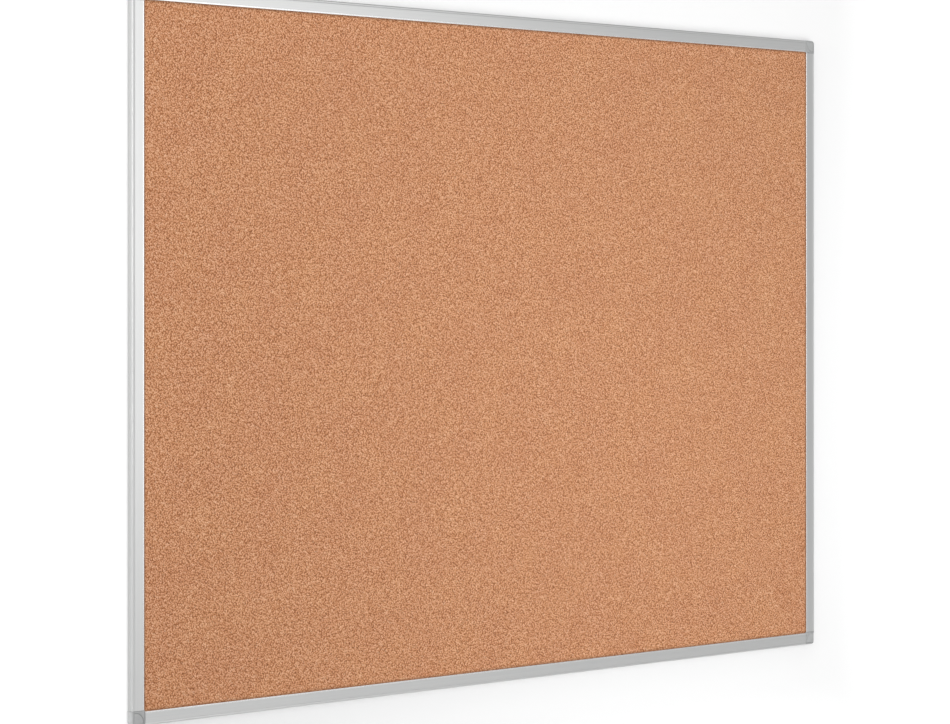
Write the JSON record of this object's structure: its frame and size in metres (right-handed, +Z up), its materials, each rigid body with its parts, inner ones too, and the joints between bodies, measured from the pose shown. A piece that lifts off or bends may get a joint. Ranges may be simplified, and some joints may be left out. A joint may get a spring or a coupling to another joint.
{
  "type": "cork notice board",
  "caption": "Wall-hung cork notice board in a slim aluminium frame, with moulded corner pieces whose quarter-round covers swing aside to bare the wall screws.",
  "frame": {"origin": "middle of the board's outline, on the wall plane that its back lies against", "axes": "+Z up, +X to the right as seen from the front, +Y into the wall, so the cork faces -Y"},
  "size_m": [1.2, 0.0105, 0.9],
  "materials": {
    "cork": "fine-grain agglomerated cork, sanded, matt",
    "softboard": "soft fibreboard, matt",
    "backing_paper": "brown backing paper, matt",
    "anodised_aluminium": "satin anodised extrusion",
    "grey_plastic": "moulded ABS, fine texture",
    "cover_plastic": "moulded ABS, fine texture",
    "zinc_steel": "zinc-plated steel"
  },
  "bodies": {
    "board": {"cork_sheet": "cork", "core_board": "softboard", "back_sheet": "backing_paper", "top_rail": "anodised_aluminium", "bottom_rail": "anodised_aluminium", "left_rail": "anodised_aluminium", "right_rail": "anodised_aluminium", "corner_bottom_left": "grey_plastic", "corner_bottom_right": "grey_plastic", "corner_top_right": "grey_plastic", "corner_top_left": "grey_plastic", "bottom_rail_screw_left": "zinc_steel", "left_rail_screw_bottom": "zinc_steel", "right_rail_screw_bottom": "zinc_steel", "bottom_rail_screw_right": "zinc_steel", "top_rail_screw_right": "zinc_steel", "right_rail_screw_top": "zinc_steel", "left_rail_screw_top": "zinc_steel", "top_rail_screw_left": "zinc_steel"},
    "cover_bottom_left": {"screw_cover_bottom_left": "cover_plastic"},
    "cover_bottom_right": {"screw_cover_bottom_right": "cover_plastic"},
    "cover_top_right": {"screw_cover_top_right": "cover_plastic"},
    "cover_top_left": {"screw_cover_top_left": "cover_plastic"}
  },
  "joints": [
    {"name": "cover_swing_bottom_left", "type": "hinge", "parent": "board", "child": "cover_bottom_left", "pos_m": [-0.596, -0.0087, -0.446], "axis": [0, 1, 0], "range_deg": [0, 90]},
    {"name": "cover_swing_bottom_right", "type": "hinge", "parent": "board", "child": "cover_bottom_right", "pos_m": [0.596, -0.0087, -0.446], "axis": [0, 1, 0], "range_deg": [0, 90]},
    {"name": "cover_swing_top_right", "type": "hinge", "parent": "board", "child": "cover_top_right", "pos_m": [0.596, -0.0087, 0.446], "axis": [0, 1, 0], "range_deg": [0, 90]},
    {"name": "cover_swing_top_left", "type": "hinge", "parent": "board", "child": "cover_top_left", "pos_m": [-0.596, -0.0087, 0.446], "axis": [0, 1, 0], "range_deg": [0, 90]}
  ]
}
